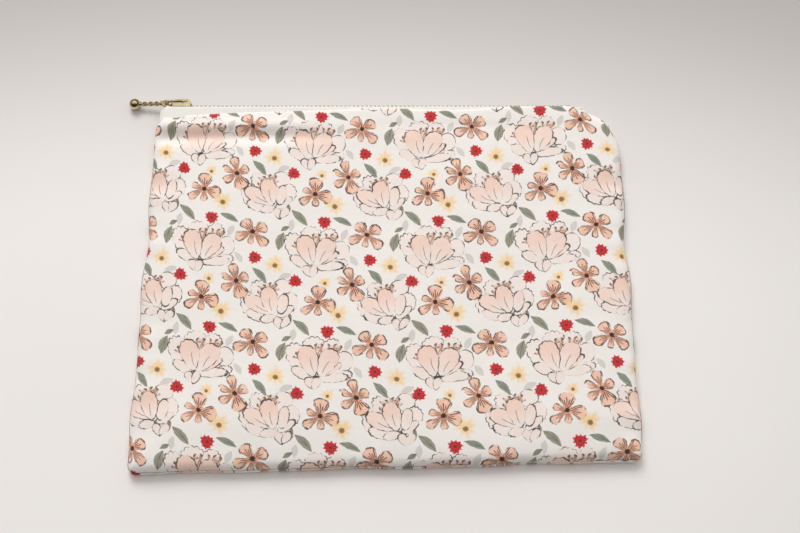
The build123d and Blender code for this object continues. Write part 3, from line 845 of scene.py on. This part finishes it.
def ribbon_path():
    """Section of a tape from the cord round the fold to its hidden edge: away from the pouch, and out
    from the chain's centre."""
    top = tape_high[2] - MID_Z - TAPE_UNDER_HEM
    turn = np.linspace(0, math.pi / 2, 7)
    corner = np.stack([np.cos(turn) - 1, np.sin(turn) - 1], -1) * TAPE_BEND + (0, top)
    rise = np.stack([np.zeros(5), np.linspace(CORD_Q + CORD_RADIUS, top - TAPE_BEND, 6)[:5]], -1)
    flat = np.stack([np.linspace(-TAPE_BEND, -TAPE_HIDDEN, 8)[1:], np.full(7, top)], -1)
    return np.concatenate([rise, corner, flat])


def tape(side, word):
    """One zip tape: a woven ribbon that rises from its cord, folds over and runs in under the hem."""
    path = ribbon_path()
    step = np.gradient(path, axis=0)
    normal = np.stack([step[:, 1], -step[:, 0]], -1)
    normal /= np.linalg.norm(normal, axis=1, keepdims=True)
    left, right = TAPE_OVERRUN - HALF_WIDTH, tape_high[0] + TAPE_OVERRUN
    x = np.linspace(left, right, 190)
    # the tape narrows and turns in beyond both ends of the chain
    ends = smoothstep(CHAIN_LEFT - 1.0, left, x) + smoothstep(stop_high[0], right, x)
    wave = 0.05 * rumple(x, x * 0, 24, 51)
    surfaces = []
    for offset in (TAPE_HALF_THICK, -TAPE_HALF_THICK):
        section = path + normal * offset
        y = CHAIN_Y + section[:, :1] - 1.6 * ends + wave
        z = MID_Z + side * section[:, 1:] * (1 - 0.45 * ends)
        surfaces.append(np.stack(np.broadcast_arrays(x[None, :], y, z), -1))
    along = np.concatenate([[0], np.cumsum(np.linalg.norm(np.diff(path, axis=0), axis=1))])
    cloth = np.stack(np.broadcast_arrays(x[None, :], along[:, None]), -1)
    piece = shell(word + "_zip_tape", *surfaces, cloth, flip=side > 0)
    give(piece, zip_tape)
    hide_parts(word + "_tape")
    return piece


def tooth_middle(x):
    """The middle of the tooth that a point belongs to, the same for all of one tooth's points."""
    return FIRST_TOOTH + np.round((x - FIRST_TOOTH) / TOOTH_PITCH) * TOOTH_PITCH


for side, word in ((1, "front"), (-1, "back")):
    ribbon = tape(side, word)
    teeth = twin(word + "_teeth", word + "_chain")
    give(teeth, gold_teeth)
    if side > 0:
        open_with_mouth(ribbon)
        open_with_mouth(teeth, tooth_middle)
    else:
        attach(ribbon, "pouch")
        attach(teeth, "pouch")

corded_edge = woven_cord("front_corded_edge")
give(corded_edge, cord)
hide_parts("front_cord")
open_with_mouth(corded_edge)

seam_stitches = twin("front_zip_stitch", "front_seam_stitches")
give(seam_stitches, thread)
open_with_mouth(seam_stitches)

end_stop = twin("front_top_stop", "front_end_stop")
give(end_stop, gold_metal)
open_with_mouth(end_stop, lambda x: x * 0 + x.mean())

# the rest of the zip and the hidden threads are the CAD's own nodes
for name, node in nodes.items():
    if node.hide_render:
        continue
    if name.endswith("_cord"):
        give(node, cord)
    elif "thread" in name or "stitch" in name:
        give(node, thread)
    else:
        give(node, gold_metal)


# ---------------------------------------------------------------- stage, light and camera
def stage():
    """A plain pale table, with painted shade that darkens it away from the pouch, as the light falls off
    towards the edges of the view.
    """
    half = 1600
    corners = ((-half, -half, 0), (half, -half, 0), (half, half, 0), (-half, half, 0))
    floor = make_mesh("floor", corners, [(0, 1, 2, 3)], smooth=False)
    material, tree, shader = new_material("pale_table", 0.6)
    place = tree.nodes.new("ShaderNodeTexCoord").outputs["Object"]
    right, back, _ = axes(tree, place)
    right, back = right + 0.05, back + 0.03
    grain = noise(tree, place, 9.0, detail=4.0, shift=1.0)
    pale = mix_colour(tree, grain, srgb(244, 240, 237), srgb(248, 244, 241))
    # painted shade: the table darkens to grey away from the pouch, standing in for the light falling off
    away = length_of(right * 0.6, (back + back.size() * 0.35) * 1.15)
    floor_with_painted_shade = mix_colour(tree, away.ramp(0.10, 0.40), pale, srgb(186, 181, 177))
    tree.links.new(floor_with_painted_shade.socket, shader.inputs["Base Color"])
    floor.data.materials.append(material)


def area_light(name, place, size, power):
    """A round lamp aimed at the pouch. Polished metal doesn't mirror it."""
    light = bpy.data.lights.new(name, "AREA")
    light.shape = "DISK"
    light.size = size
    light.energy = power
    lamp = bpy.data.objects.new(name, light)
    lamp.location = place
    lamp.rotation_euler = (-Vector(place)).to_track_quat("-Z", "Y").to_euler()
    lamp.visible_glossy = False
    bpy.context.scene.collection.objects.link(lamp)


def studio_world():
    """Soft light, strongest from behind. Polished metal sees it darken to the front and the horizon."""
    world = bpy.data.worlds.new("studio")
    world.use_nodes = True
    tree = world.node_tree
    background = tree.nodes["Background"]
    _, back, height = axes(tree, tree.nodes.new("ShaderNodeTexCoord").outputs["Generated"])
    soft = mix_colour(tree, back.ramp(-0.6, 0.4), (0.22, 0.215, 0.21, 1), (1.27, 1.25, 1.235, 1))
    high_and_back = height.ramp(0.35, 0.85) * back.ramp(-0.6, 0.4)
    reflected = mix_colour(tree, high_and_back, (0.05, 0.045, 0.035, 1), (1.7, 1.62, 1.44, 1))
    mirror_ray = Field(tree, tree.nodes.new("ShaderNodeLightPath").outputs["Is Glossy Ray"])
    tree.links.new(mix_colour(tree, mirror_ray, soft, reflected).socket, background.inputs["Color"])
    background.inputs["Strength"].default_value = 0.57
    return world


stage()
area_light("window", (-0.32, 1.15, 1.30), 1.0, 16)
area_light("room", (0.4, -0.5, 1.8), 1.8, 5)
bpy.context.scene.world = studio_world()
bpy.context.scene.view_settings.view_transform = "Standard"

CAMERA_TARGET = Vector((0.0070, 0.00675, 0.0))
CAMERA_DISTANCE = 0.577
CAMERA_ELEVATION = math.radians(68.4)
camera_data = bpy.data.cameras.new("camera")
camera_data.lens = 50
camera_data.sensor_width = 36
camera_data.clip_start = 0.01
camera = bpy.data.objects.new("camera", camera_data)
camera.location = CAMERA_TARGET + CAMERA_DISTANCE * Vector(
    (0, -math.cos(CAMERA_ELEVATION), math.sin(CAMERA_ELEVATION)))
camera.rotation_euler = (math.pi / 2 - CAMERA_ELEVATION, 0, 0)
bpy.context.scene.collection.objects.link(camera)
bpy.context.scene.camera = camera
